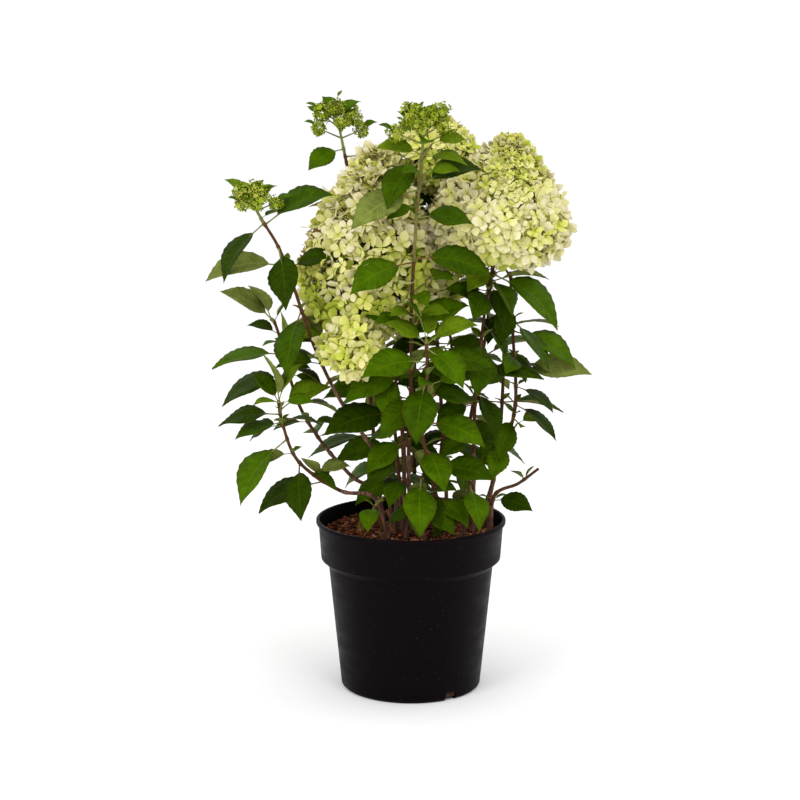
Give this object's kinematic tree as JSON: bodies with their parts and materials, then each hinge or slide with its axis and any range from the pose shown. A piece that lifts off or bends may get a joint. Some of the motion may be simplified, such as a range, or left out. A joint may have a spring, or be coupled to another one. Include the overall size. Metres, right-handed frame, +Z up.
{
  "type": "potted panicle hydrangea",
  "caption": "Panicle hydrangea shrub in a black nursery pot: woody stems, toothed leaf pairs, full cream-green flower heads and green bud heads.",
  "frame": {"origin": "centre of the pot's flat underside", "axes": "+Z up along the pot's axis, -Y towards the side that the picture shows, +X to its right"},
  "size_m": [0.4553, 0.3471, 0.7218],
  "materials": {
    "pot": "moulded black plastic with a soft satin gloss and a little dust",
    "soil": "coarse red-brown bark and coir chips, matt",
    "stem": "reddish brown bark with fine ridges, greener towards the tips",
    "leaves": "mid green, satin above and paler below, with fine veins",
    "bloom": "matt cream petals that turn lime green towards their base",
    "buds": "matt yellow-green buds"
  },
  "bodies": {
    "root": {"bloom_back_left": "bloom", "bloom_back_right": "bloom", "bloom_back_top": "bloom", "bloom_centre_back": "bloom", "bloom_left_large": "bloom", "bloom_left_small": "bloom", "bloom_right_large": "bloom", "buds_centre_front": "buds", "buds_left_outer": "buds", "buds_left_upper": "buds", "leaves_back_left": "leaves", "leaves_back_middle": "leaves", "leaves_back_right": "leaves", "leaves_back_top": "leaves", "leaves_centre_back": "leaves", "leaves_centre_front": "leaves", "leaves_centre_right": "leaves", "leaves_left_bloom": "leaves", "leaves_left_low": "leaves", "leaves_left_middle": "leaves", "leaves_left_outer": "leaves", "leaves_left_small": "leaves", "leaves_left_upper": "leaves", "leaves_low_back": "leaves", "leaves_low_front": "leaves", "leaves_low_left": "leaves", "leaves_low_right": "leaves", "leaves_right_back": "leaves", "leaves_right_bloom": "leaves", "leaves_right_low": "leaves", "leaves_right_outer": "leaves", "pot": "pot", "soil": "soil", "stem_back_left": "stem", "stem_back_middle": "stem", "stem_back_right": "stem", "stem_back_top": "stem", "stem_centre_back": "stem", "stem_centre_front": "stem", "stem_centre_right": "stem", "stem_left_bloom": "stem", "stem_left_low": "stem", "stem_left_middle": "stem", "stem_left_outer": "stem", "stem_left_small": "stem", "stem_left_upper": "stem", "stem_low_back": "stem", "stem_low_front": "stem", "stem_low_left": "stem", "stem_low_right": "stem", "stem_right_back": "stem", "stem_right_bloom": "stem", "stem_right_low": "stem", "stem_right_outer": "stem"}
  },
  "joints": []
}
